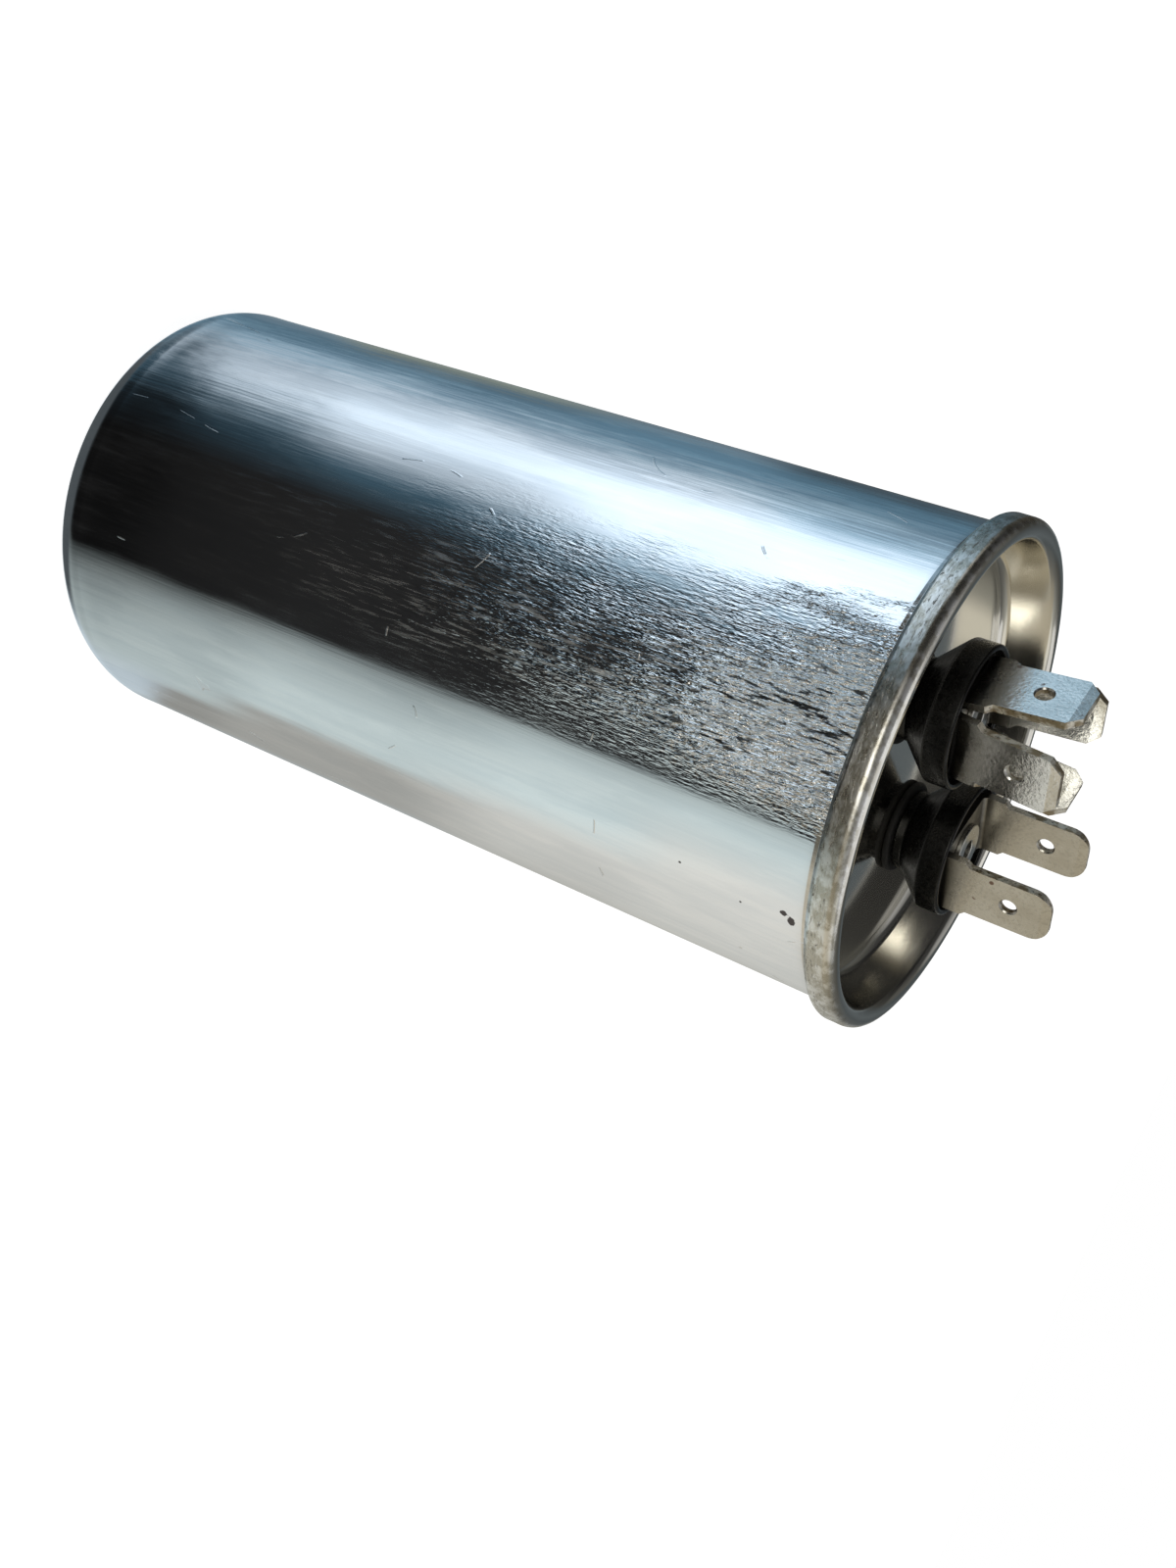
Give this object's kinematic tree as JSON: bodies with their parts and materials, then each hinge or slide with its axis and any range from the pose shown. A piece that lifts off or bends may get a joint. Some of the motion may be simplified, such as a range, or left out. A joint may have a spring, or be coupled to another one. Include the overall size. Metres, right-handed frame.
{
  "type": "motor run capacitor",
  "caption": "Round aluminium can capacitor with a seamed, dished lid and push-on blade terminals on black insulators, wound film element inside.",
  "frame": {"origin": "centre of the can's closed end, on the surface it stands on", "axes": "+Z along the can's axis from the closed end to the blades; +X from the two-blade terminal to the four-blade terminal"},
  "size_m": [0.0528, 0.0528, 0.1146],
  "materials": {
    "drawn_aluminium": "drawn, with fine streaks along the can and light scratches",
    "tinplate": "bright tinplate, mirror-like with fine rub marks",
    "sealing_compound": "matt",
    "tinned_brass": "tin plated, satin with fine grain",
    "black_phenolic": "moulded, half gloss with fine dust",
    "gasket_rubber": "matt",
    "plated_rivet": "plated, half bright",
    "phenolic_washer": "matt",
    "solder": "dull bright",
    "sprayed_metal": "rough, as sprayed",
    "metallised_film": "wound film, satin edges",
    "core_plastic": "smooth",
    "film_wrap": "clear yellowish film",
    "liner_film": "milky film",
    "cap_plastic": "moulded",
    "red_lead": "smooth",
    "blue_lead": "smooth"
  },
  "bodies": {
    "root": {"can": "drawn_aluminium", "lid": "tinplate", "seam_compound": "sealing_compound", "four_blade_terminal": "tinned_brass", "two_blade_terminal": "tinned_brass", "four_blade_insulator": "black_phenolic", "two_blade_insulator": "black_phenolic", "four_blade_gasket": "gasket_rubber", "two_blade_gasket": "gasket_rubber", "four_blade_rivet": "plated_rivet", "two_blade_rivet": "plated_rivet", "four_blade_washer": "phenolic_washer", "two_blade_washer": "phenolic_washer", "four_blade_lug": "tinned_brass", "two_blade_lug": "tinned_brass", "top_lead": "red_lead", "bottom_lead": "blue_lead", "top_solder": "solder", "bottom_solder": "solder", "film_winding": "metallised_film", "core_tube": "core_plastic", "top_metal_spray": "sprayed_metal", "bottom_metal_spray": "sprayed_metal", "film_wrap": "film_wrap", "top_end_cap": "cap_plastic", "bottom_end_cap": "cap_plastic", "can_liner": "liner_film"}
  },
  "joints": []
}
